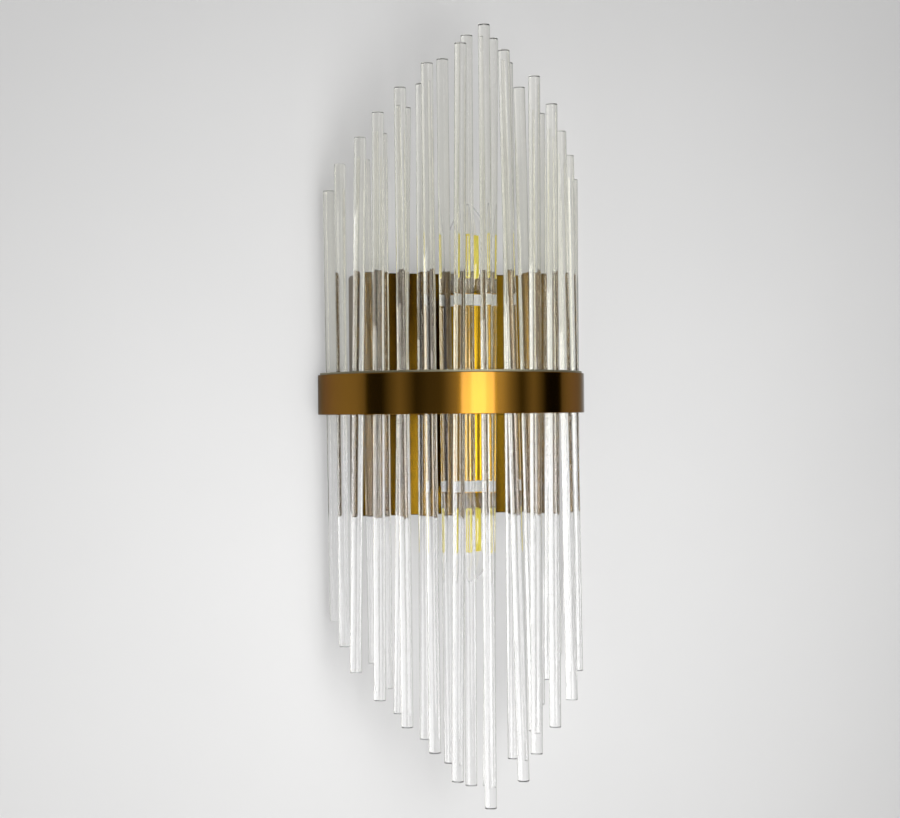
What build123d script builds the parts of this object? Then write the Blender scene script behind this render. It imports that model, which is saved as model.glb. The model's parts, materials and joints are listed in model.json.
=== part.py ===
"""Wall sconce: clear glass rods held in a half-round brass band, with a lamp up and a lamp down.

Millimetres.  X runs along the wall, the wall is the plane Y = 0, the room is on the -Y side and
+Z is up.  The origin is on the wall, level with the middle of the band.
"""
import math
import os

from build123d import *

# ---- clearances -------------------------------------------------------------------------------
seat_gap = 0.2          # between fixed pieces that rest on each other
screw_clearance = 0.25  # round a screw shank, on the radius
rod_clearance = 0.6     # round a leaning rod in its plate hole, on the radius
thread_clearance = 0.35  # between the lamp cap and the holder's threaded shell

# ---- band and rod plates ----------------------------------------------------------------------
band_radius = 96.0      # outside
band_height = 28.0
band_wall = 1.5
band_straight = 6.0     # from the middle of the half circle back to the wall plane
band_wall_gap = 1.0     # the band's ends stop short of the wall
band_edge_break = 0.3
plate_thickness = 2.0
plate_proud = 1.4       # the upper plate stands over the band's rim
plate_recess = 1.0      # the lower plate lies inside the band
plate_land = 3.4        # metal left inside the inner row of holes
crosspiece_width = 12.0  # strip of the plate in front of the back box
notch_clearance = 1.5   # between a plate and the sides of the back box
flange_height = 10.0
flange_width = 24.0
flange_inset = 27.0     # middle of each flange from the side of the back box
column_radius = 2.5
column_land = 0.8       # between a rear column and the rod ring beside it
tube_room = 3.0         # round the lamp tube where it passes the plates
column_bore = 1.25
bore_spare = 0.5        # a column's bore runs this far past its screw

# ---- glass rods -------------------------------------------------------------------------------
rod_radius = 4.0
rod_edge_break = 0.5
outer_rod_count = 15
inner_rod_count = 12
outer_row_inset = 7.5   # from the band's outside to the middle of an outer rod
inner_row_clearance = 5.4  # from the front of the back box to the last inner rod
row_spacing = 16.5      # between the two rows
outer_row_span = 172.0  # degrees, from the first outer rod to the last
rod_top_height = 244.0   # middle rod, above the band's middle
rod_bottom_depth = 279.0
rod_top_step = 14.4     # each place away from the middle is shorter by this much
rod_bottom_step = 17.2
rod_step_scatter = 4.0  # rods differ by up to this much from the even steps
rod_lean = 1.2          # degrees, the most that a rod leans in its holes
lean_turn = 97.0        # degrees that the lean's direction turns from rod to rod
lean_start = 210.0      # degrees, direction of the first rod's lean
lean_wave = 4.2         # radians from rod to rod in the wave that varies the lean
scatter_wave = 5.9      # radians from rod to rod in the wave that varies the ends
ring_wall = 1.3         # clear ring that a rod hangs by
ring_height = 2.5

# ---- back box and wall bracket ----------------------------------------------------------------
box_width = 146.0
box_height = 170.0
box_depth = 24.0
box_sheet = 1.2
box_corner = 3.0
box_edge_break = 0.8
bracket_width = 26.0
bracket_sheet = 1.5
ear_depth = 12.0        # how far an ear reaches forward from the wall
ear_screw_y = 7.0       # side screw, from the wall
slot_spacing = 88.0     # between the middles of the two wall slots
slot_length = 16.0
slot_width = 5.0
cable_hole_radius = 9.0
cable_hole_z = -19.0    # middle of the cable hole, under the origin

# ---- lamp tube and its nipple -----------------------------------------------------------------
tube_radius = 15.0
tube_wall = 1.2
tube_length = 136.0
lamp_room = 2.5         # between a lamp's glass and the inner rods
nipple_radius = 5.0
nipple_bore = 3.6
nipple_end = 6.0        # reach of the nipple inside the box, past the box's front
nipple_proud = 0.8      # past the round nut
nipple_shoulder = 2.0   # shoulder between box and tube, over the pipe's radius
nut_flats = 13.0
nut_thickness = 2.6
strip_height = 7.5
strip_inset = 0.8       # strip's edge from the end of the tube
strip_thickness = 0.25
strip_span = 200.0      # degrees round the tube

# ---- lampholders and lamps --------------------------------------------------------------------
holder_length = 36.0
holder_inset = 9.0      # holder's face from the end of the tube
shell_radius = 7.3      # inside of the threaded shell
shell_wall = 0.5
shell_length = 22.0
shell_inset = 2.0       # shell's mouth from the holder's face
shell_rim = 1.2         # width of the shell's inturned foot
holder_edge_break = 1.0
contact_radius = 3.2
contact_thickness = 1.2
cap_collar_height = 3.0
cap_taper_height = 3.2
button_radius = 2.4
button_height = 1.4
bulb_radius = 17.5
bulb_reach = 130.0      # tip of each lamp from the band's middle
bulb_glass = 0.8
bulb_neck_radius = 9.0
bulb_widest = 0.44      # where the glass is widest, as a share of its height
bulb_tip_radius = 6.0
cap_crest = 0.45        # depth of the cap's thread
cap_pitch = 2.8
cap_turns = 5
cap_metal = 0.6         # sheet of the cap, and of the edges beside it
cap_floor = 0.8
taper_step = 1.0        # the dark taper is narrower than the cap by this much
stem_foot = 1.2         # thickness of the stem's foot in the lamp's neck
stem_flare = 5.0        # height over which the stem narrows to its post
stem_post = 1.6         # radius of the post
stick_count = 4
stick_radius = 1.8
stick_length = 29.0
stick_ring = 6.0        # from the lamp's axis to the middle of a stick
stick_start = 17.3      # foot of the sticks above the lamp's cap
stick_turn = 45.0       # degrees round the axis to the first stick
stick_wire = 0.5        # radius of the wires that carry the sticks

# ---- screws, terminal block and leads ---------------------------------------------------------
m4_radius = 2.0
m4_head_radius = 3.75
m4_head_height = 2.4
m4_head_break = 0.7
m4_nut_flats = 7.0
m4_nut_thickness = 3.0
m3_radius = 1.1
m3_head_radius = 2.6
m3_head_height = 1.5
m3_length = 7.0
slot_cut = 0.8          # driver slot across a screw head
screw_proud = 1.5       # past the nut or the ear
nut_bore_gap = 0.1      # between a nut and the thread in it, on the radius
block_width = 24.0
block_height = 14.0
block_depth = 9.0
block_z = 22.0          # middle of the terminal block above the band's middle
block_bore = 1.7
lead_radius = 0.9
lead_spacing = 3.4      # between the pair of leads
lead_seat = 2.5         # how far a lead reaches into a holder or past the nipple's end
lead_bend = 3.0

# ---- sizes that follow ------------------------------------------------------------------------
band_inner = band_radius - band_wall
plate_radius = band_inner - seat_gap
outer_row = band_radius - outer_row_inset
inner_row = outer_row - row_spacing
rod_hole = rod_radius + rod_clearance
upper_plate_z = band_height / 2 + plate_proud - plate_thickness
lower_plate_z = -band_height / 2 + plate_recess
plates_apart = upper_plate_z - lower_plate_z - plate_thickness
plate_opening = inner_row - rod_hole - plate_land
box_front = -box_depth
flange_y = box_front - seat_gap
crosspiece_front = flange_y - crosspiece_width
flange_screw_z = plates_apart / 4
column_row = (outer_row + inner_row) / 2
rod_pitch = outer_row_span / (outer_rod_count - 1)
inner_row_end = box_depth + inner_row_clearance + rod_radius
inner_row_span = 2 * math.degrees(math.acos((inner_row_end - band_straight) / inner_row))
inner_pitch = inner_row_span / (inner_rod_count - 1)
flange_x = box_width / 2 - flange_inset
tube_y = band_straight + inner_row - rod_radius - lamp_room - bulb_radius
tube_inner = tube_radius - tube_wall
tube_end = tube_length / 2
holder_face = tube_end - holder_inset
holder_base = holder_face - holder_length
shell_top = holder_face - shell_inset
shell_base = shell_top - shell_length
shell_outer = shell_radius + shell_wall
contact_top = shell_base - seat_gap
cap_radius = shell_radius - thread_clearance
button_base = contact_top + seat_gap
cap_base = button_base + button_height + cap_taper_height
cap_top = holder_face + seat_gap + cap_collar_height
bulb_height = bulb_reach - cap_top


def at(x, y, z):
    """Place a piece without turning it."""
    return Location((x, y, z))


def facing_room(x, y, z):
    """Place a piece so that its own +Z looks into the room."""
    return Location((x, y, z), (90, 0, 0))


def cylinder(radius, low, high):
    return extrude(Plane.XY.offset(low) * Circle(radius), high - low)


def washer(outer, inner, low, high):
    return cylinder(outer, low, high) - cylinder(inner, low, high)


def half_round(radius, back):
    """Half circle towards the room, with straight sides back to Y = -back."""
    straight = band_straight - back
    disc = Pos(0, -band_straight) * Circle(radius)
    front = Pos(0, -band_straight - radius / 2) * Rectangle(2 * radius, radius)
    sides = Pos(0, -back - straight / 2) * Rectangle(2 * radius, straight)
    return (disc & front) + sides


def on_row(row, degrees):
    """Point on a row of rods, with the angle measured from the middle of the band's front."""
    angle = math.radians(degrees)
    return row * math.sin(angle), -band_straight - row * math.cos(angle)


# ---- rods -------------------------------------------------------------------------------------
def rod_places():
    """Name, row radius, angle and counting number of every rod."""
    places = []
    for index in range(outer_rod_count):
        steps = index - (outer_rod_count - 1) / 2
        places.append((f"outer_rod_{index + 1:02d}", outer_row, steps * rod_pitch))
    for index in range(inner_rod_count):
        steps = index - (inner_rod_count - 1) / 2
        places.append((f"inner_rod_{index + 1:02d}", inner_row, steps * inner_pitch))
    return places


def rod_frame(number, row, degrees):
    """Location of a rod's middle, with the small lean that its loose holes allow."""
    x, y = on_row(row, degrees)
    turn = math.radians(lean_turn * number + lean_start)
    lean = rod_lean * (0.55 + 0.45 * math.sin(lean_wave * number))
    return Location((x, y, 0), (lean * math.cos(turn), lean * math.sin(turn), 0))


def rod_ends(number, degrees):
    """Lower and upper end of a rod along its own axis."""
    steps = abs(degrees) / rod_pitch
    top = rod_top_height - steps * rod_top_step
    bottom = rod_bottom_depth - steps * rod_bottom_step
    scatter = rod_step_scatter * math.sin(scatter_wave * number)
    return -bottom - scatter, top - scatter


def glass_rod(number, row, degrees):
    low, high = rod_ends(number, degrees)
    rod = cylinder(rod_radius, low, high)
    rod = chamfer(rod.edges().filter_by(GeomType.CIRCLE), rod_edge_break)
    return rod_frame(number, row, degrees) * rod


def rod_rings():
    """Clear ring round each rod, resting on the lower plate."""
    low = lower_plate_z + plate_thickness + 1.5 * seat_gap
    rings = []
    for number, (name, row, degrees) in enumerate(rod_places()):
        ring = washer(rod_radius + ring_wall, rod_radius + seat_gap, low, low + ring_height)
        rings.append(rod_frame(number, row, degrees) * ring)
    return rings


# ---- band and plates --------------------------------------------------------------------------
def band():
    outside = half_round(band_radius, band_wall_gap)
    inside = half_round(band_inner, 0)
    strip = extrude(Plane.XY.offset(-band_height / 2) * (outside - inside), band_height)
    rims = strip.edges().filter_by(GeomType.CIRCLE).filter_by(lambda e: e.radius > band_inner + band_wall / 2)
    return chamfer(rims, band_edge_break)


def column_places():
    """Columns stand between the rows of rods, and two stand on the crosspiece."""
    places = []
    for side in (-1, 1):
        for step in (2, 4):
            places.append(on_row(column_row, side * step * rod_pitch))
        places.append((side * rear_column_x(), rear_column_y()))
    return places


def rear_column_x():
    last_rod_x = on_row(inner_row, inner_row_span / 2)[0]
    return last_rod_x - rod_radius - ring_wall - column_land - column_radius


def rear_column_y():
    head_front = flange_y - plate_thickness - seat_gap - m4_head_height
    return head_front - seat_gap - column_radius


def plate_outline():
    outline = half_round(plate_radius, band_wall_gap)
    notch_width = box_width + 2 * notch_clearance
    notch = Pos(0, flange_y / 2) * Rectangle(notch_width, -flange_y)
    room = Pos(0, crosspiece_front - band_radius / 2) * Rectangle(2 * band_radius, band_radius)
    opening = (Pos(0, -band_straight) * Circle(plate_opening)) & room
    opening += Pos(0, -tube_y) * Circle(tube_radius + tube_room)
    outline = outline - notch - opening
    for name, row, degrees in rod_places():
        x, y = on_row(row, degrees)
        outline -= Pos(x, y) * Circle(rod_hole)
    for x, y in column_places():
        outline -= Pos(x, y) * Circle(m3_radius + screw_clearance)
    return outline


def flange(direction):
    """Upright tab behind the crosspiece, with its screw hole; direction is -1 down, 1 up."""
    low = min(0, direction * flange_height)
    tab = Box(flange_width, plate_thickness, flange_height, align=(Align.CENTER, Align.MAX, Align.MIN))
    hole = facing_room(0, 0, direction * flange_screw_drop()) * cylinder(
        m4_radius + screw_clearance, -plate_thickness, 2 * plate_thickness)
    return at(0, 0, low) * tab - hole


def flange_screw_drop():
    return plates_apart / 2 - flange_screw_z


def rod_plate(z, direction):
    """One plate; its flanges point towards the other plate and its countersinks away from it."""
    plate = extrude(Plane.XY.offset(z) * plate_outline(), plate_thickness)
    root = z if direction < 0 else z + plate_thickness
    for side in (-1, 1):
        plate += at(side * flange_x, flange_y, root) * flange(direction)
    face = z + plate_thickness if direction < 0 else z
    for x, y in column_places():
        plate -= countersunk_place(x, y, face, direction) * countersink(screw_clearance)
    return plate


def countersink(gap):
    """Cone of a countersunk head, its flat face at z = 0 and its point below."""
    return Cone(m3_radius + gap, m3_head_radius + gap, m3_head_height + gap,
                align=(Align.CENTER, Align.CENTER, Align.MAX))


def countersunk_place(x, y, z, direction):
    turn = 0 if direction < 0 else 180
    return Location((x, y, z), (turn, 0, 0))


def plate_columns():
    low = lower_plate_z + plate_thickness
    columns = []
    for x, y in column_places():
        bore_room = m3_length - plate_thickness + bore_spare
        column = cylinder(column_radius, low, upper_plate_z)
        column -= cylinder(column_bore, low, low + bore_room)
        column -= cylinder(column_bore, upper_plate_z - bore_room, upper_plate_z)
        columns.append(at(x, y, 0) * column)
    return columns


def countersunk_screw():
    screw = countersink(0) + cylinder(m3_radius, -m3_length, -m3_head_height / 2)
    slot = Box(2 * m3_head_radius, slot_cut, 2 * slot_cut)
    return screw - slot


def column_screws():
    screws = []
    top = upper_plate_z + plate_thickness
    for x, y in column_places():
        screws.append(countersunk_place(x, y, top, -1) * countersunk_screw())
        screws.append(countersunk_place(x, y, lower_plate_z, 1) * countersunk_screw())
    return screws


# ---- back box and bracket ---------------------------------------------------------------------
def flange_screw_points():
    return [(side * flange_x, level * flange_screw_z + mid_plates_z())
            for side in (-1, 1) for level in (-1, 1)]


def mid_plates_z():
    return (upper_plate_z + lower_plate_z + plate_thickness) / 2


def back_box():
    outer = extrude(Plane.XZ * RectangleRounded(box_width, box_height, box_corner), box_depth)
    front_edges = outer.edges().group_by(Axis.Y)[0]
    outer = fillet(front_edges, box_edge_break)
    inside = RectangleRounded(box_width - 2 * box_sheet, box_height - 2 * box_sheet,
                              box_corner - box_sheet)
    box = outer - extrude(Plane.XZ * inside, box_depth - box_sheet)
    hole = cylinder(m4_radius + screw_clearance, -2 * box_sheet, 2 * box_sheet)
    for x, z in flange_screw_points():
        box -= facing_room(x, box_front, z) * hole
    for level in (-1, 1):
        box -= at(0, -ear_screw_y, level * box_height / 2) * hole
    nipple_hole = cylinder(nipple_radius + seat_gap, -2 * box_sheet, 2 * box_sheet)
    box -= facing_room(0, box_front, 0) * nipple_hole
    return box


def wall_bracket():
    """Upright bar on the wall with two slots, a cable hole, and an ear at each end."""
    height = box_height - 2 * box_sheet - 2 * seat_gap
    bar = extrude(Plane.XZ * Rectangle(bracket_width, height), bracket_sheet)
    for level in (-1, 1):
        middle = level * slot_spacing / 2
        slot = SlotOverall(slot_length, slot_width, rotation=90)
        bar -= extrude(Plane.XZ * Pos(0, middle) * slot, bracket_sheet)
        ear = Box(bracket_width, ear_depth, bracket_sheet,
                  align=(Align.CENTER, Align.MAX, Align.CENTER))
        place = level * (height - bracket_sheet) / 2
        hole = cylinder(m4_radius + screw_clearance, -bracket_sheet, bracket_sheet)
        bar += at(0, 0, place) * ear
        bar -= at(0, -ear_screw_y, place) * hole
    cable_hole = Pos(0, cable_hole_z) * Circle(cable_hole_radius)
    bar -= extrude(Plane.XZ * cable_hole, bracket_sheet)
    return bar


def terminal_block():
    back = -bracket_sheet - seat_gap
    block = Box(block_width, block_depth, block_height, align=(Align.CENTER, Align.MAX, Align.CENTER))
    block = at(0, back, block_z) * block
    for column in (-1, 0, 1):
        x = column * block_width / 3
        middle = back - block_depth / 2
        block -= at(x, middle, block_z) * cylinder(block_bore, -block_height, block_height)
        for level in (-1, 1):
            z = block_z + level * block_height / 4
            block -= facing_room(x, middle, z) * cylinder(block_bore, 0, block_depth)
    return block


# ---- screws and nuts --------------------------------------------------------------------------
def pan_screw(length):
    """Pan-head screw whose head stands on z = 0 and whose shank points down."""
    head = cylinder(m4_head_radius, 0, m4_head_height)
    head = chamfer(head.edges().group_by(Axis.Z)[-1], m4_head_break)
    screw = head + cylinder(m4_radius, -length, m4_head_height / 2)
    slot = at(0, 0, m4_head_height) * Box(2 * m4_head_radius, slot_cut, slot_cut * 2)
    return screw - slot


def m4_screws():
    """Four screws through the flanges into the box, and one through the box at top and bottom."""
    through = plate_thickness + 3 * seat_gap + box_sheet + m4_nut_thickness + screw_proud
    screws = []
    for x, z in flange_screw_points():
        place = facing_room(x, flange_y - plate_thickness - seat_gap, z)
        screws.append(place * pan_screw(through))
    side_length = box_sheet + 2 * seat_gap + bracket_sheet + screw_proud
    for level in (-1, 1):
        turn = 0 if level > 0 else 180
        place = Location((0, -ear_screw_y, level * (box_height / 2 + seat_gap)), (turn, 0, 0))
        screws.append(place * pan_screw(side_length))
    return screws


def hex_nut(flats, bore, thickness):
    nut = extrude(RegularPolygon(flats / 2, 6, major_radius=False), thickness)
    return nut - cylinder(bore, 0, thickness)


def m4_nuts():
    nut = hex_nut(m4_nut_flats, m4_radius + nut_bore_gap, m4_nut_thickness)
    y = box_front + box_sheet + seat_gap + m4_nut_thickness
    return [facing_room(x, y, z) * nut for x, z in flange_screw_points()]


# ---- lamp tube --------------------------------------------------------------------------------
def lamp_tube():
    tube = washer(tube_radius, tube_inner, -tube_end, tube_end)
    hole = cylinder(nipple_radius + seat_gap, -tube_wall, tube_radius)
    return at(0, -tube_y, 0) * tube - facing_room(0, -tube_y + tube_radius, 0) * hole


def round_nut_back():
    """Y where the round nut meets the inside of the tube."""
    return -tube_y + math.sqrt(tube_inner ** 2 - (nut_flats / 2) ** 2) - seat_gap


def nipple_front():
    """Y of the nipple's end inside the tube."""
    return round_nut_back() - nut_thickness - nipple_proud


def tube_nipple():
    """Short threaded pipe with a shoulder between the box and the tube, bored for the leads."""
    back = box_front + nipple_end
    length = back - nipple_front()
    shoulder_start = nipple_end + seat_gap
    shoulder_end = back - (-tube_y + tube_radius + seat_gap)
    pipe = cylinder(nipple_radius, 0, length)
    shoulder = cylinder(nipple_radius + nipple_shoulder, shoulder_start, shoulder_end)
    return facing_room(0, back, 0) * (pipe + shoulder - cylinder(nipple_bore, 0, length))


def nipple_nuts():
    """Nut inside the box and round nut inside the tube."""
    bore = nipple_radius + nut_bore_gap
    box_nut = hex_nut(nut_flats, bore, nut_thickness)
    box_nut = facing_room(0, box_front + box_sheet + seat_gap + nut_thickness, 0) * box_nut
    round_nut = washer(nut_flats / 2, bore, 0, nut_thickness)
    return [box_nut, facing_room(0, round_nut_back(), 0) * round_nut]


def tube_strips():
    """Thin plain strip round the front of the tube near each end."""
    strips = []
    ring = washer(tube_radius + seat_gap / 2 + strip_thickness, tube_radius + seat_gap / 2,
                  -strip_height / 2, strip_height / 2)
    reach = 2 * tube_radius
    half = math.radians(strip_span / 2)
    wedge = Polyline((0, 0), (reach * math.sin(half), -reach * math.cos(half)), (reach, -reach),
                     (-reach, -reach), (-reach * math.sin(half), -reach * math.cos(half)),
                     (0, 0))
    sector = extrude(Plane.XY.offset(-strip_height) * make_face(wedge), 2 * strip_height)
    for level in (-1, 1):
        middle = level * (tube_end - strip_inset - strip_height / 2)
        strips.append(at(0, -tube_y, middle) * (ring & sector))
    return strips


# ---- lampholder and lamp, drawn pointing up with z measured from the band's middle -------------
def lamp_place(direction):
    turn = 0 if direction > 0 else 180
    return Location((0, -tube_y, 0), (0, turn, 0))


def holder_body():
    body = cylinder(tube_inner - seat_gap, holder_base, holder_face)
    body = chamfer(body.edges().group_by(Axis.Z)[-1], holder_edge_break)
    body -= cylinder(shell_outer + seat_gap, shell_base, holder_face)
    body -= cylinder(contact_radius + seat_gap, contact_top - contact_thickness - seat_gap, shell_base)
    for side in (-1, 1):
        lead_hole = cylinder(lead_radius + seat_gap, holder_base, holder_base + 2 * lead_seat)
        body -= at(side * lead_spacing, 0, 0) * lead_hole
    return body


def holder_shell():
    shell = washer(shell_outer, shell_radius, shell_base + seat_gap, shell_top)
    rim_low = shell_base + seat_gap
    rim = washer(shell_outer, shell_radius - shell_rim, rim_low, rim_low + shell_wall)
    return shell + rim


def holder_contact():
    return cylinder(contact_radius, contact_top - contact_thickness, contact_top)


def lamp_cap():
    """Screw cap: rounded thread crests, a waist under the glass and an open collar."""
    root = cap_radius - cap_crest
    centred = (Align.CENTER, Align.CENTER)
    cap = cylinder(root, cap_base, cap_top)
    for turn in range(cap_turns):
        crest = at(0, 0, cap_base + cap_metal + (turn + 0.5) * cap_pitch)
        cap += crest * Cone(root, cap_radius, cap_pitch / 2, align=(*centred, Align.MAX))
        cap += crest * Cone(cap_radius, root, cap_pitch / 2, align=(*centred, Align.MIN))
    collar = Cone(root, bulb_neck_radius + cap_metal, cap_collar_height, align=(*centred, Align.MAX))
    cap += at(0, 0, cap_top) * collar
    return cap - cylinder(root - cap_metal, cap_base + cap_floor, cap_top)


def lamp_contact():
    """Dark glass taper under the cap with the metal button below it."""
    taper = Cone(button_radius + cap_metal, cap_radius - taper_step, cap_taper_height - seat_gap,
                 align=(Align.CENTER,) * 2 + (Align.MIN,))
    taper = at(0, 0, button_base + button_height) * taper
    return taper + cylinder(button_radius, button_base, button_base + button_height)


def bulb_outline(shrink):
    """Half outline of the glass as three arcs from neck to tip, drawn inwards by shrink."""
    widest = cap_top + bulb_widest * bulb_height
    drop = widest - cap_top - seat_gap
    flare = bulb_radius - bulb_neck_radius
    swell_radius = (flare ** 2 + drop ** 2) / (2 * flare)
    rise = bulb_reach - bulb_tip_radius - widest
    taper_radius = ((bulb_radius ** 2 + rise ** 2 - bulb_tip_radius ** 2)
                    / (2 * (bulb_radius - bulb_tip_radius)))
    foot = math.degrees(math.asin(drop / (swell_radius - shrink)))
    turn = math.degrees(math.atan2(rise, taper_radius - bulb_radius))
    return [
        CenterArc((bulb_radius - swell_radius, widest), swell_radius - shrink, -foot, foot),
        CenterArc((bulb_radius - taper_radius, widest), taper_radius - shrink, 0, turn),
        CenterArc((0, bulb_reach - bulb_tip_radius), bulb_tip_radius - shrink, turn, 90 - turn),
    ]


def bulb_envelope():
    outer = bulb_outline(0)
    inner = bulb_outline(bulb_glass)
    foot = Line(inner[0] @ 0, outer[0] @ 0)
    tip = Line(outer[-1] @ 1, inner[-1] @ 1)
    face = make_face(Curve() + [*outer, tip, *inner, foot])
    return revolve(Plane.XZ * face, Axis.Z)


def stick_base():
    return cap_top + stick_start


def bulb_stem():
    """Flared glass foot in the neck, drawn out to a thin post that carries the sticks."""
    low = cap_top + seat_gap
    flare = bulb_neck_radius - bulb_glass - seat_gap
    tip = stick_base() + stick_length / 3
    outline = Polyline((0, low), (flare, low), (flare, low + stem_foot),
                       (2 * stem_post, low + stem_flare), (stem_post, low + 2 * stem_flare),
                       (stem_post, tip), (0, tip), (0, low))
    return revolve(Plane.XZ * make_face(outline), Axis.Z)


def bulb_glass_pieces(direction):
    return [lamp_place(direction) * bulb_envelope(), lamp_place(direction) * bulb_stem()]


def filament_sticks(direction):
    """Four upright light sticks, joined by a wire star at the stem and another at the top."""
    low = stick_base()
    high = low + stick_length
    post = stem_post + seat_gap
    cage = washer(post + 2 * stick_wire, post, low - stick_wire, low + stick_wire)
    cage += cylinder(2 * stick_wire, high - stick_wire, high + stick_wire)
    for index in range(stick_count):
        angle = math.radians(stick_turn + index * 360 / stick_count)
        x = stick_ring * math.cos(angle)
        y = stick_ring * math.sin(angle)
        cage += at(x, y, 0) * cylinder(stick_radius, low, high)
        for level, start in ((low, post + stick_wire), (high, 0)):
            length = stick_ring - start
            bar = Box(length, 2 * stick_wire, 2 * stick_wire,
                      align=(Align.MIN, Align.CENTER, Align.CENTER))
            spoke = Location((0, 0, level), (0, 0, math.degrees(angle)))
            cage += spoke * at(start, 0, 0) * bar
    return lamp_place(direction) * cage


# ---- leads ------------------------------------------------------------------------------------
def lead(points, radius):
    """Round lead along straight runs joined by arcs."""
    path = FilletPolyline(*points, radius=radius)
    return sweep(Plane(path @ 0, z_dir=path % 0) * Circle(lead_radius), path=path)


def box_leads():
    """Pair of leads from the terminal block down and forward into the nipple."""
    leads = []
    block_foot = block_z - block_height / 2 - seat_gap
    middle = -bracket_sheet - seat_gap - block_depth / 2
    nipple_back = box_front + nipple_end
    for side in (-1, 1):
        x = side * block_width / 3
        in_x = side * lead_spacing / 2
        leads.append(lead([(x, middle, block_foot), (x, middle, block_foot - 2 * lead_bend),
                           (in_x, middle, 0), (in_x, nipple_back - 2 * nipple_end, 0)], lead_bend))
    return leads


def tube_leads():
    """Pair of leads from the nipple to each lampholder."""
    leads = []
    start = nipple_front() + lead_seat
    for direction in (-1, 1):
        level = direction * (lead_radius + seat_gap)
        end = direction * (holder_base + lead_seat)
        for side in (-1, 1):
            x = side * lead_spacing / 2
            leads.append(lead([(x, start, level), (x, -tube_y, level),
                               (side * lead_spacing, -tube_y, end)], lead_bend))
    return leads


# ---- write every node -------------------------------------------------------------------------
def all_nodes():
    nodes = {
        "back_box": back_box(),
        "wall_bracket": wall_bracket(),
        "terminal_block": terminal_block(),
        "m4_screws": m4_screws(),
        "m4_nuts": m4_nuts(),
        "band": band(),
        "upper_plate": rod_plate(upper_plate_z, -1),
        "lower_plate": rod_plate(lower_plate_z, 1),
        "plate_columns": plate_columns(),
        "column_screws": column_screws(),
        "rod_rings": rod_rings(),
        "lamp_tube": lamp_tube(),
        "tube_nipple": tube_nipple(),
        "nipple_nuts": nipple_nuts(),
        "tube_strips": tube_strips(),
        "box_leads": box_leads(),
        "tube_leads": tube_leads(),
    }
    for name, direction in (("upper", 1), ("lower", -1)):
        place = lamp_place(direction)
        nodes[f"{name}_holder_body"] = place * holder_body()
        nodes[f"{name}_holder_shell"] = place * holder_shell()
        nodes[f"{name}_holder_contact"] = place * holder_contact()
        nodes[f"{name}_bulb_cap"] = place * lamp_cap()
        nodes[f"{name}_bulb_contact"] = place * lamp_contact()
        nodes[f"{name}_bulb_glass"] = bulb_glass_pieces(direction)
        nodes[f"{name}_bulb_filaments"] = filament_sticks(direction)
    for number, (name, row, degrees) in enumerate(rod_places()):
        nodes[name] = glass_rod(number, row, degrees)
    return nodes


def write_nodes():
    os.makedirs("parts", exist_ok=True)
    for name, shape in all_nodes().items():
        if isinstance(shape, list):
            shape = Compound(children=shape)
        export_step(shape, f"parts/{name}.step")


write_nodes()
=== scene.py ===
"""Wall sconce of clear glass rods in a half-round brass band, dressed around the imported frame.

Metres, in the frame's own axes: the wall is the plane y = 0, the room is on the -y side.
"""
import json
import math

import bpy
import numpy as np
from mathutils import Matrix, Vector

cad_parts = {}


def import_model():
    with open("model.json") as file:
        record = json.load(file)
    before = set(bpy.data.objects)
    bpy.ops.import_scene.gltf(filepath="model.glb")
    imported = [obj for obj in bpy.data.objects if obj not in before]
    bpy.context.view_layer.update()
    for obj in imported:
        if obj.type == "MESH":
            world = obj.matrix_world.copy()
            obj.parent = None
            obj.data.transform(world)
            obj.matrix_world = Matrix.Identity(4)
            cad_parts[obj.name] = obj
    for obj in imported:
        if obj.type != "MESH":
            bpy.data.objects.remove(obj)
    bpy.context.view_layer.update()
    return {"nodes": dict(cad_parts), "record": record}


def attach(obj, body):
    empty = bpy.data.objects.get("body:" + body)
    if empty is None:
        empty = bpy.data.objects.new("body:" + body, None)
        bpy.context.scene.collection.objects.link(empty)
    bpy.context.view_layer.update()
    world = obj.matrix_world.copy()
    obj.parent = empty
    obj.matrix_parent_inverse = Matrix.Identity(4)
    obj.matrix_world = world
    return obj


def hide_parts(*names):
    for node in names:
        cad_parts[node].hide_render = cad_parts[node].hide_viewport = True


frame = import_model()
NODES = frame["nodes"]

# ---- the photograph's view ----------------------------------------------------------------------
CAMERA_AZIMUTH = -16.0      # degrees round the sconce, to the left of straight ahead
CAMERA_DISTANCE = 1.150     # from the origin on the wall, along the view
CAMERA_HEIGHT = -0.0107     # the eye is level with a point just under the band's middle
CAMERA_SHIFT = 0.0012       # the camera stands this far to its own right
CAMERA_ROLL = 0.5           # degrees
PIXELS_PER_METRE = 1381.0   # at the wall plane
SENSOR = 36.0               # millimetres
IMAGE_WIDTH = 900           # pixels

# ---- stage --------------------------------------------------------------------------------------
WALL_WIDTH = 5.0
WALL_TOP = 2.2
FLOOR_Z = -0.95
FLOOR_DEPTH = 5.0
PAINTED_LIGHT_CENTRE = (-0.02, 0.0, -0.08)   # centre of the painted light on the wall round the sconce, where it is brightest
PAINTED_LIGHT_RADIUS = 0.60
PAINTED_LIGHT_MIDDLE = 0.33          # share of white that the wall shows there without any lamp
PAINTED_LIGHT_EDGE = 0.15
FLOOR_PALENESS = 0.40
BACKDROP = (0.66, 0.66, 0.66, 1)    # what the eye sees past the wall and the floor

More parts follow.
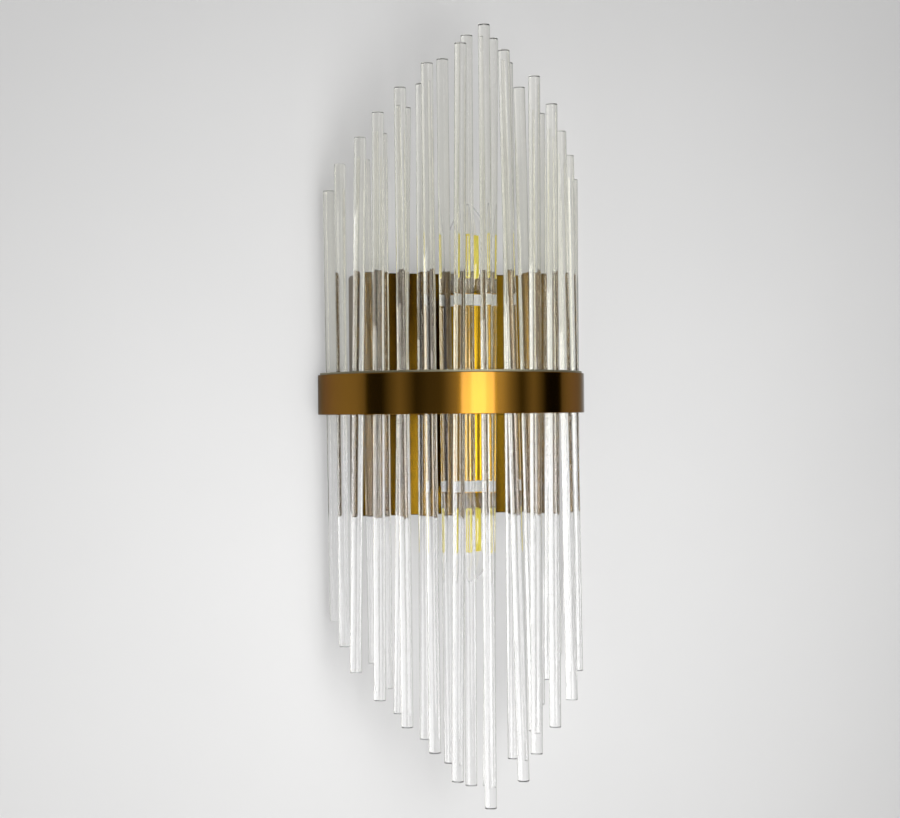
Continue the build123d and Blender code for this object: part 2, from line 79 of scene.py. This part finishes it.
# ---- glass rods: sizes and finish ---------------------------------------------------------------
ROD_SIDES = 48
ROD_EDGE = 0.0007           # fire-polished rim of a rod's end
ROD_EDGE_STEPS = 6          # facets round that rim
ROD_EDGE_SPREAD = 0.35      # rims differ from one another by up to this share
ROD_LOW_WAVE = 2.3          # radians from rod to rod in the waves that vary the rims
ROD_HIGH_WAVE = 1.9
ROD_PAINTED_SHADE_BAND = (-0.05, 0.02)    # painted shade: the glass turns from clear to darker and warmer between these heights
ROD_PAINTED_SHADE_TOP = (0.10, 0.22)     # and from that to a lighter painted shade between these
ROD_PAINTED_RIM_SHADE = (0.42, 0.74)      # how far a face is turned away where the painted rim shade starts and ends

# ---- the room round the sconce ------------------------------------------------------------------
# degrees round from straight ahead, and how bright the room is there
SURROUNDINGS = [(-180, 0.14), (-92, 0.06), (-75, 0.04), (-59, 0.56), (-45, 0.06), (-34, 0.17),
                (-23, 0.19), (-10, 1.00), (8, 0.60), (26, 1.65), (35, 0.65), (46, 0.06), (58, 0.56),
                (72, 0.01), (92, 0.01), (180, 0.14)]
OVERHEAD = (0.26, 0.26, 0.27, 1)    # the room overhead and underfoot
OVERHEAD_FROM = (0.45, 0.80)        # steepness of a ray where the sides give way to it

# ---- rays that show a surface to the eye --------------------------------------------------------
STRAIGHT = "Is Camera Ray"
MIRRORED = "Is Glossy Ray"
THROUGH_GLASS = "Is Transmission Ray"


def grey(level):
    return (level, level, level)


# ---- node helpers -------------------------------------------------------------------------------
class Nodes:
    """Builds one node tree, of a material or of the world."""

    def __init__(self, tree):
        self.tree = tree

    def add(self, kind, **values):
        node = self.tree.nodes.new(kind)
        for key, value in values.items():
            setattr(node, key, value)
        return node

    def link(self, source, target):
        self.tree.links.new(source, target)

    def ramp(self, fac, stops):
        """Colours between stops, each a place from 0 to 1 and a colour."""
        node = self.add("ShaderNodeValToRGB")
        ramp = node.color_ramp
        while len(ramp.elements) < len(stops):
            ramp.elements.new(0.5)
        for element, (place, colour) in zip(ramp.elements, stops):
            element.position = place
            element.color = (*colour, 1)
        self.link(fac, node.inputs["Fac"])
        return node.outputs["Color"]

    def rise(self, value, low, high, **kind):
        """0 up to a low value, 1 from a high one."""
        node = self.add("ShaderNodeMapRange", **kind)
        node.inputs["From Min"].default_value = low
        node.inputs["From Max"].default_value = high
        self.link(value, node.inputs["Value"])
        return node.outputs["Result"]

    def mix(self, fac, first, second):
        """The first colour where fac is 0, the second where it is 1; each a socket or a tuple."""
        node = self.add("ShaderNodeMixRGB")
        self.link(fac, node.inputs["Fac"])
        for colour, target in ((first, node.inputs["Color1"]), (second, node.inputs["Color2"])):
            if isinstance(colour, tuple):
                target.default_value = colour
            else:
                self.link(colour, target)
        return node.outputs["Color"]

    def rays(self, *kinds):
        """1 for a ray of one of these kinds, 0 for any other."""
        path = self.add("ShaderNodeLightPath")
        found = path.outputs[kinds[0]]
        for kind in kinds[1:]:
            either = self.add("ShaderNodeMath", operation="MAXIMUM")
            self.link(found, either.inputs[0])
            self.link(path.outputs[kind], either.inputs[1])
            found = either.outputs["Value"]
        return found


class Shader(Nodes):
    """The node tree of one new material, in the piece's own coordinates."""

    def __init__(self, name):
        self.material = bpy.data.materials.new(name)
        self.material.use_nodes = True
        super().__init__(self.material.node_tree)
        self.tree.nodes.clear()
        self.output = self.add("ShaderNodeOutputMaterial")

    def principled(self, **sockets):
        node = self.add("ShaderNodeBsdfPrincipled")
        for key, value in sockets.items():
            node.inputs[key.replace("_", " ")].default_value = value
        return node

    def noise(self, scale, detail=3.0, stretch=(1, 1, 1)):
        place = self.add("ShaderNodeTexCoord")
        mapping = self.add("ShaderNodeMapping")
        mapping.inputs["Scale"].default_value = stretch
        self.link(place.outputs["Object"], mapping.inputs["Vector"])
        node = self.add("ShaderNodeTexNoise")
        node.inputs["Scale"].default_value = scale
        node.inputs["Detail"].default_value = detail
        self.link(mapping.outputs["Vector"], node.inputs["Vector"])
        return node.outputs["Fac"]

    def spread(self, fac, low, high):
        """From low to high as fac goes from 0 to 1."""
        node = self.add("ShaderNodeMapRange")
        node.inputs["To Min"].default_value = low
        node.inputs["To Max"].default_value = high
        self.link(fac, node.inputs["Value"])
        return node.outputs["Result"]

    def height(self, low, high):
        """0 below one height of the piece, 1 above another."""
        place = self.add("ShaderNodeTexCoord")
        split = self.add("ShaderNodeSeparateXYZ")
        self.link(place.outputs["Object"], split.inputs["Vector"])
        return self.rise(split.outputs["Z"], low, high)

    def fade(self, centre, radius):
        """0 at a point of the piece, rising smoothly to 1 at a distance from it."""
        place = self.add("ShaderNodeTexCoord")
        away = self.add("ShaderNodeVectorMath", operation="DISTANCE")
        away.inputs[1].default_value = centre
        self.link(place.outputs["Object"], away.inputs[0])
        return self.rise(away.outputs["Value"], 0.0, radius, interpolation_type="SMOOTHSTEP")

    def turned_away(self, low, high):
        """0 on a face that looks at the eye, 1 towards the piece's outline."""
        facing = self.add("ShaderNodeLayerWeight")
        facing.inputs["Blend"].default_value = 0.5
        return self.rise(facing.outputs["Facing"], low, high)

    def bump(self, fac, distance, strength):
        node = self.add("ShaderNodeBump")
        node.inputs["Distance"].default_value = distance
        node.inputs["Strength"].default_value = strength
        self.link(fac, node.inputs["Height"])
        return node.outputs["Normal"]

    def finish(self, surface):
        self.link(surface, self.output.inputs["Surface"])
        return self.material


# ---- metals -------------------------------------------------------------------------------------
def metal(name, low, high, roughness, grain, detail=3.0, stretch=(1, 1, 1), stops=(0.3, 0.7)):
    """Metal whose colour and gloss wander together; roughness is the least, usual and most."""
    s = Shader(name)
    tone = s.noise(grain, detail, stretch)
    least, usual, most = roughness
    p = s.principled(Metallic=1.0, Roughness=usual)
    s.link(s.ramp(tone, [(stops[0], low), (stops[1], high)]), p.inputs["Base Color"])
    s.link(s.spread(tone, least, most), p.inputs["Roughness"])
    return s.finish(p.outputs["BSDF"])


def satin_brass():
    """Lacquered antique brass: satin metal under a thin, glossier coat, with slight patches."""
    s = Shader("satin_brass")
    brushing = s.noise(900, 2.0, stretch=(1, 1, 0.02))
    patches = s.noise(14, 4.0)
    colour = s.ramp(patches, [(0.30, (0.200, 0.090, 0.0012)), (0.75, (0.226, 0.104, 0.0018))])
    p = s.principled(Metallic=1.0, Roughness=0.13, Specular_Tint=(0.41, 0.40, 0.38, 1),
                     Coat_Weight=0.10, Coat_Roughness=0.08, Coat_IOR=2.2)
    s.link(colour, p.inputs["Base Color"])
    s.link(s.spread(brushing, 0.11, 0.16), p.inputs["Roughness"])
    s.link(s.bump(brushing, 0.00001, 0.2), p.inputs["Normal"])
    return s.finish(p.outputs["BSDF"])


def box_brass_painted_shade():
    """Brass of the box, darker than the band's: painted shade for the box behind the rods; also more
    patchy.
    """
    return metal("box_brass_painted_shade", (0.030, 0.014, 0.0015), (0.150, 0.086, 0.0050), (0.17, 0.22, 0.27),
                 grain=34, detail=2.0, stretch=(1, 1, 0.08), stops=(0.38, 0.64))


def pale_brass():
    """Brass of the upper rod plate, duller and paler than the lacquered band."""
    return metal("pale_brass", (0.27, 0.255, 0.175), (0.33, 0.315, 0.225), (0.52, 0.58, 0.64), grain=90)


def tube_brass_painted_light():
    """Brighter, yellower brass of the lamp tube: painted light, a lit copy of the band's brass."""
    return metal("tube_brass_painted_light", (0.34, 0.20, 0.010), (0.42, 0.26, 0.018), (0.18, 0.22, 0.28),
                 grain=30, stretch=(1, 1, 0.1), stops=(0.30, 0.75))


def plain_brass():
    """Bare brass of the small inner pieces."""
    return metal("plain_brass", (0.60, 0.38, 0.12), (0.74, 0.50, 0.18), (0.24, 0.32, 0.40), grain=60)


def plated_steel():
    """Zinc-plated steel with a fine spangle."""
    return metal("plated_steel", (0.40, 0.41, 0.42), (0.58, 0.59, 0.60), (0.26, 0.35, 0.45),
                 grain=250, detail=4.0)


def lamp_cap_metal():
    return metal("lamp_cap_metal", (0.62, 0.60, 0.56), (0.76, 0.74, 0.70), (0.22, 0.30, 0.38), grain=400)


# ---- glass and clear pieces ---------------------------------------------------------------------
def rod_glass():
    """Drawn glass with faint draw lines: clear below; above the band, painted shade makes it darker and
    warmer, lighter again near the top.

    It darkens towards the outline of each rod: painted shade standing for the black rims that the real
    rods show where they bend the dim room into view.
    """
    s = Shader("rod_glass")
    draw = s.noise(120, 1.0, stretch=(1, 1, 0.01))
    clear = s.ramp(draw, [(0.3, (0.984, 0.985, 0.985)), (0.7, (0.994, 0.994, 0.992))])
    # painted shade: darker, warmer tints of the glass above the band, lighter near the top
    warm_painted_shade = s.ramp(draw, [(0.3, (0.915, 0.912, 0.855)), (0.7, (0.938, 0.934, 0.884))])
    pale = s.ramp(draw, [(0.3, (0.945, 0.942, 0.905)), (0.7, (0.964, 0.960, 0.928))])
    # painted shade: the glass darkens towards each rod's outline
    painted_rim_shade = s.ramp(draw, [(0.3, (0.240, 0.236, 0.200)), (0.7, (0.320, 0.314, 0.270))])
    body = s.mix(s.height(*ROD_PAINTED_SHADE_TOP), s.mix(s.height(*ROD_PAINTED_SHADE_BAND), clear, warm_painted_shade), pale)
    p = s.principled(Roughness=0.0, IOR=1.5, Transmission_Weight=1.0)
    s.link(s.mix(s.turned_away(*ROD_PAINTED_RIM_SHADE), body, painted_rim_shade), p.inputs["Base Color"])
    return s.finish(p.outputs["BSDF"])


def lamp_glass():
    s = Shader("lamp_glass")
    wave = s.noise(60, 1.0)
    p = s.principled(Base_Color=(0.99, 0.99, 0.985, 1), Roughness=0.0, IOR=1.48,
                     Transmission_Weight=1.0)
    s.link(s.bump(wave, 0.00004, 0.2), p.inputs["Normal"])
    return s.finish(p.outputs["BSDF"])


def clear_silicone():
    s = Shader("clear_silicone")
    cloud = s.noise(300, 2.0)
    p = s.principled(Base_Color=(0.90, 0.91, 0.88, 1), Roughness=0.3, IOR=1.41,
                     Transmission_Weight=0.8)
    s.link(s.spread(cloud, 0.22, 0.40), p.inputs["Roughness"])
    return s.finish(p.outputs["BSDF"])


# ---- opaque pieces ------------------------------------------------------------------------------
def dark_glass():
    s = Shader("dark_glass")
    tone = s.noise(200, 2.0)
    colour = s.ramp(tone, [(0.3, (0.010, 0.010, 0.012)), (0.7, (0.022, 0.020, 0.024))])
    p = s.principled(Roughness=0.12, IOR=1.5)
    s.link(colour, p.inputs["Base Color"])
    return s.finish(p.outputs["BSDF"])


def phosphor_painted_glow():
    """Yellow coat of the filament sticks, with a weak painted glow, though the lamp is off."""
    s = Shader("filament_yellow")
    grain = s.noise(700, 3.0)
    colour = s.ramp(grain, [(0.3, (0.92, 0.76, 0.03)), (0.7, (0.97, 0.84, 0.06))])
    # painted glow: the sticks give off light of their own though no lamp is lit
    p = s.principled(Roughness=0.5, Emission_Color=(0.95, 0.80, 0.04, 1), Emission_Strength=0.22)
    s.link(colour, p.inputs["Base Color"])
    s.link(s.bump(grain, 0.00002, 0.3), p.inputs["Normal"])
    return s.finish(p.outputs["BSDF"])


def moulded(name, low, high, roughness, grain):
    """Opaque moulded or printed surface with a faint grain."""
    s = Shader(name)
    tone = s.noise(grain, 3.0)
    p = s.principled(Roughness=roughness)
    s.link(s.ramp(tone, [(0.3, low), (0.7, high)]), p.inputs["Base Color"])
    s.link(s.bump(tone, 0.00002, 0.3), p.inputs["Normal"])
    return s.finish(p.outputs["BSDF"])


# ---- stage finishes -----------------------------------------------------------------------------
def wall_paint():
    """Matt painted plaster, seen only from the room: from behind it lets every ray through.

    Part of its paleness shows to the eye alone, straight, mirrored or through glass: painted light,
    brightest round the sconce and fading away from it.
    """
    s = Shader("wall_paint")
    mottle = s.noise(3.0, 5.0)
    orange_peel = s.noise(160, 2.0)
    colour = s.ramp(mottle, [(0.3, (0.49, 0.488, 0.485)), (0.7, (0.52, 0.517, 0.513))])
    # painted light: the wall shows more white round the sconce, fading towards the edge
    painted_light_pool = s.ramp(s.fade(PAINTED_LIGHT_CENTRE, PAINTED_LIGHT_RADIUS), [(0.0, grey(PAINTED_LIGHT_MIDDLE)), (1.0, grey(PAINTED_LIGHT_EDGE))])
    p = s.principled(Roughness=0.75, Specular_IOR_Level=0.25)
    s.link(colour, p.inputs["Base Color"])
    s.link(s.bump(orange_peel, 0.0002, 0.12), p.inputs["Normal"])
    s.link(painted_light_pool, p.inputs["Emission Color"])
    s.link(s.rays(STRAIGHT, MIRRORED, THROUGH_GLASS), p.inputs["Emission Strength"])
    side = s.add("ShaderNodeNewGeometry")
    clear = s.add("ShaderNodeBsdfTransparent")
    mix = s.add("ShaderNodeMixShader")
    s.link(side.outputs["Backfacing"], mix.inputs["Fac"])
    s.link(p.outputs["BSDF"], mix.inputs[1])
    s.link(clear.outputs["BSDF"], mix.inputs[2])
    return s.finish(mix.outputs["Shader"])


def floor_paint():
    """Pale matt floor, part of whose paleness shows to the eye alone."""
    s = Shader("floor_paint")
    mottle = s.noise(2.0, 4.0)
    colour = s.ramp(mottle, [(0.3, (0.76, 0.755, 0.745)), (0.7, (0.79, 0.785, 0.775))])
    p = s.principled(Roughness=0.6, Emission_Color=(*grey(FLOOR_PALENESS), 1))
    s.link(colour, p.inputs["Base Color"])
    s.link(s.rays(STRAIGHT, MIRRORED, THROUGH_GLASS), p.inputs["Emission Strength"])
    return s.finish(p.outputs["BSDF"])


# ---- which piece gets which finish --------------------------------------------------------------
MATERIALS = {
    "satin_brass": satin_brass(),
    "plain_brass": plain_brass(),
    "plated_steel": plated_steel(),
    "lamp_cap_metal": lamp_cap_metal(),
    "clear_glass": rod_glass(),
    "lamp_glass": lamp_glass(),
    "clear_silicone": clear_silicone(),
    "dark_glass": dark_glass(),
    "block_plastic": moulded("block_plastic", (0.72, 0.71, 0.68), (0.78, 0.77, 0.74), 0.45, 150),
    "holder_ceramic": moulded("holder_ceramic", (0.74, 0.73, 0.70), (0.80, 0.79, 0.76), 0.25, 60),
    "white_strip": moulded("white_strip", (0.78, 0.78, 0.77), (0.83, 0.83, 0.82), 0.55, 500),
    "lead_cover": moulded("lead_cover", (0.012, 0.014, 0.028), (0.020, 0.022, 0.040), 0.40, 200),
    "filament_yellow": phosphor_painted_glow(),
}


def dress_nodes():
    """Give every carried-over node the finish of its slot in the record, or one of its own."""
    slots = {part["node"]: part["material_slot"] for part in frame["record"]["subparts"]}
    finishes = {"back_box": box_brass_painted_shade(), "lamp_tube": tube_brass_painted_light(), "upper_plate": pale_brass()}
    for name, node in NODES.items():
        material = finishes.get(name, MATERIALS[slots[name]])
        for place in node.material_slots:
            place.material = material


# ---- mesh helpers -------------------------------------------------------------------------------
def mesh_object(name, verts, faces, material, smooth=True):
    mesh = bpy.data.meshes.new(name)
    mesh.from_pydata(verts, [], faces)
    mesh.validate()
    mesh.polygons.foreach_set("use_smooth", [smooth] * len(mesh.polygons))
    mesh.materials.append(material)
    made = bpy.data.objects.new(name, mesh)
    bpy.context.scene.collection.objects.link(made)
    return made


def revolved(outline, sides, origin, up):
    """Closed surface turned from (radius, height) points; a radius of 0 closes on the axis."""
    turn = up.normalized().to_track_quat("Z", "Y").to_matrix()
    verts, rings, faces = [], [], []
    for radius, height in outline:
        ring = []
        for k in range(sides if radius else 1):
            a = 2 * math.pi * k / sides
            ring.append(len(verts))
            verts.append(origin + turn @ Vector((radius * math.cos(a), radius * math.sin(a), height)))
        rings.append(ring)
    for low, high in zip(rings, rings[1:]):
        for k in range(sides):
            n = (k + 1) % sides
            if len(low) == 1:
                faces.append((low[0], high[n], high[k]))
            elif len(high) == 1:
                faces.append((low[k], low[n], high[0]))
            else:
                faces.append((low[k], low[n], high[n], high[k]))
    return verts, faces


# ---- glass rods ---------------------------------------------------------------------------------
def rod_line(node):
    """Lower and upper end of a rod's axis and its radius."""
    points = np.array([v.co for v in node.data.vertices])
    middle = points[:, 2].mean()
    lower = points[points[:, 2] < middle]
    upper = points[points[:, 2] > middle]
    low_mid = (lower.max(0) + lower.min(0)) / 2
    high_mid = (upper.max(0) + upper.min(0)) / 2
    along = Vector(high_mid - low_mid).normalized()
    reach = points @ np.array(along)
    base = Vector(low_mid)
    start = base + along * (reach.min() - base.dot(along))
    end = base + along * (reach.max() - base.dot(along))
    off = points - np.array(base)
    off -= np.outer(off @ np.array(along), np.array(along))
    return start, end, float(np.linalg.norm(off, axis=1).max())


def rod_outline(length, radius, number):
    """Half outline of a rod: straight sides, and ends rounded over by the flame."""
    low_edge = ROD_EDGE * (1.0 + ROD_EDGE_SPREAD * math.sin(ROD_LOW_WAVE * number))
    high_edge = ROD_EDGE * (1.0 + ROD_EDGE_SPREAD * math.cos(ROD_HIGH_WAVE * number))
    turns = [math.pi / 2 * k / ROD_EDGE_STEPS for k in range(ROD_EDGE_STEPS + 1)]
    points = [(0.0, 0.0)]
    for a in turns:
        points.append((radius - low_edge + low_edge * math.sin(a), low_edge - low_edge * math.cos(a)))
    for a in turns:
        points.append((radius - high_edge + high_edge * math.cos(a),
                       length - high_edge + high_edge * math.sin(a)))
    points.append((0.0, length))
    return points


def glass_rods():
    """A smoother rod with rounded ends in the place of each rod of the frame."""
    for number, name in enumerate(sorted(n for n in NODES if "_rod_" in n)):
        start, end, radius = rod_line(NODES[name])
        outline = rod_outline((end - start).length, radius, number)
        verts, faces = revolved(outline, ROD_SIDES, start, end - start)
        rod = mesh_object(f"glass_{name}", verts, faces, MATERIALS["clear_glass"])
        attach(rod, "root")
        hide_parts(name)


# ---- stage --------------------------------------------------------------------------------------
def plane(name, corners, material):
    mesh_object(name, corners, [(0, 1, 2, 3)], material, smooth=False)


def stage():
    half = WALL_WIDTH / 2
    wall = [(-half, 0, FLOOR_Z), (half, 0, FLOOR_Z), (half, 0, WALL_TOP), (-half, 0, WALL_TOP)]
    floor = [(-half, -FLOOR_DEPTH, FLOOR_Z), (half, -FLOOR_DEPTH, FLOOR_Z),
             (half, FLOOR_DEPTH, FLOOR_Z), (-half, FLOOR_DEPTH, FLOOR_Z)]
    plane("stage_wall", wall, wall_paint())
    plane("stage_floor", floor, floor_paint())


# ---- light --------------------------------------------------------------------------------------
def softbox(name, azimuth, elevation, distance, size, radiance, target=(0, 0, 0)):
    """Area light in a direction from the origin; a face of radiance 1 would look white."""
    data = bpy.data.lights.new(name, "AREA")
    data.shape = "RECTANGLE"
    data.size, data.size_y = size
    data.energy = radiance * math.pi * size[0] * size[1]
    lamp = bpy.data.objects.new(name, data)
    a, e = math.radians(azimuth), math.radians(elevation)
    toward = Vector((math.sin(a) * math.cos(e), -math.cos(a) * math.cos(e), math.sin(e)))
    lamp.location = toward * distance
    lamp.rotation_euler = (Vector(target) - lamp.location).to_track_quat("-Z", "Y").to_euler()
    lamp.visible_camera = False
    bpy.context.scene.collection.objects.link(lamp)


def lights():
    """A strong box ahead and low, a narrow one ahead and high, and soft ones round them.

    The one behind the wall adds a trace of light to what is seen from the back.
    """
    softbox("key_light", azimuth=5.1, elevation=-14, distance=0.92, size=(0.43, 0.54), radiance=5.0,
            target=(-0.15, 0, -0.20))
    softbox("tall_light", azimuth=6.0, elevation=10, distance=0.90, size=(0.19, 0.64), radiance=2.6)
    softbox("low_light", azimuth=6, elevation=-34, distance=1.20, size=(1.10, 0.55), radiance=0.45,
            target=(-0.15, 0, -0.15))
    softbox("left_light", azimuth=-48, elevation=-30, distance=1.25, size=(0.60, 0.60), radiance=1.8,
            target=(-0.10, 0, -0.10))
    softbox("back_light", azimuth=180, elevation=10, distance=2.40, size=(1.60, 1.60), radiance=1.2)


def world():
    """A dim room, brighter in some directions round the sconce, with a pale backdrop for the eye."""
    made = bpy.data.worlds.new("studio")
    bpy.context.scene.world = made
    made.use_nodes = True
    w = Nodes(made.node_tree)
    place = w.add("ShaderNodeTexCoord")
    ray = w.add("ShaderNodeSeparateXYZ")
    w.link(place.outputs["Generated"], ray.inputs["Vector"])
    ahead = w.add("ShaderNodeMath", operation="MULTIPLY")
    ahead.inputs[1].default_value = -1.0
    w.link(ray.outputs["Y"], ahead.inputs[0])
    azimuth = w.add("ShaderNodeMath", operation="ARCTAN2")
    w.link(ray.outputs["X"], azimuth.inputs[0])
    w.link(ahead.outputs[0], azimuth.inputs[1])
    steepness = w.add("ShaderNodeMath", operation="ABSOLUTE")
    w.link(ray.outputs["Z"], steepness.inputs[0])
    stops = [((degrees + 180) / 360, grey(brightness)) for degrees, brightness in SURROUNDINGS]
    sides = w.ramp(w.rise(azimuth.outputs[0], -math.pi, math.pi), stops)
    room = w.mix(w.rise(steepness.outputs[0], *OVERHEAD_FROM), sides, OVERHEAD)
    background = w.tree.nodes["Background"]
    background.inputs["Strength"].default_value = 1.0
    w.link(w.mix(w.rays(STRAIGHT, THROUGH_GLASS), room, BACKDROP), background.inputs["Color"])


# ---- camera and render settings -----------------------------------------------------------------
def camera():
    """The photograph's view of the sconce."""
    data = bpy.data.cameras.new("camera")
    data.sensor_width = SENSOR
    data.lens = PIXELS_PER_METRE * CAMERA_DISTANCE * SENSOR / IMAGE_WIDTH
    made = bpy.data.objects.new("camera", data)
    a = math.radians(CAMERA_AZIMUTH)
    toward = Vector((-math.sin(a), math.cos(a), 0))
    right = Vector((math.cos(a), math.sin(a), 0))
    made.location = -toward * CAMERA_DISTANCE + right * CAMERA_SHIFT + Vector((0, 0, CAMERA_HEIGHT))
    turn = toward.to_track_quat("-Z", "Y")
    roll = Matrix.Rotation(math.radians(CAMERA_ROLL), 4, toward)
    made.rotation_mode = "QUATERNION"
    made.rotation_quaternion = (roll @ turn.to_matrix().to_4x4()).to_quaternion()
    bpy.context.scene.collection.objects.link(made)
    bpy.context.scene.camera = made


def render_settings():
    """Plain colours, and enough bounces for light to pass a dozen rods with two faces each."""
    scene = bpy.context.scene
    scene.view_settings.view_transform = "Standard"
    scene.cycles.max_bounces = 24
    scene.cycles.transmission_bounces = 24
    scene.cycles.glossy_bounces = 8
    scene.cycles.transparent_max_bounces = 40
    scene.cycles.caustics_reflective = False
    scene.cycles.caustics_refractive = True


dress_nodes()
glass_rods()
stage()
lights()
world()
camera()
render_settings()
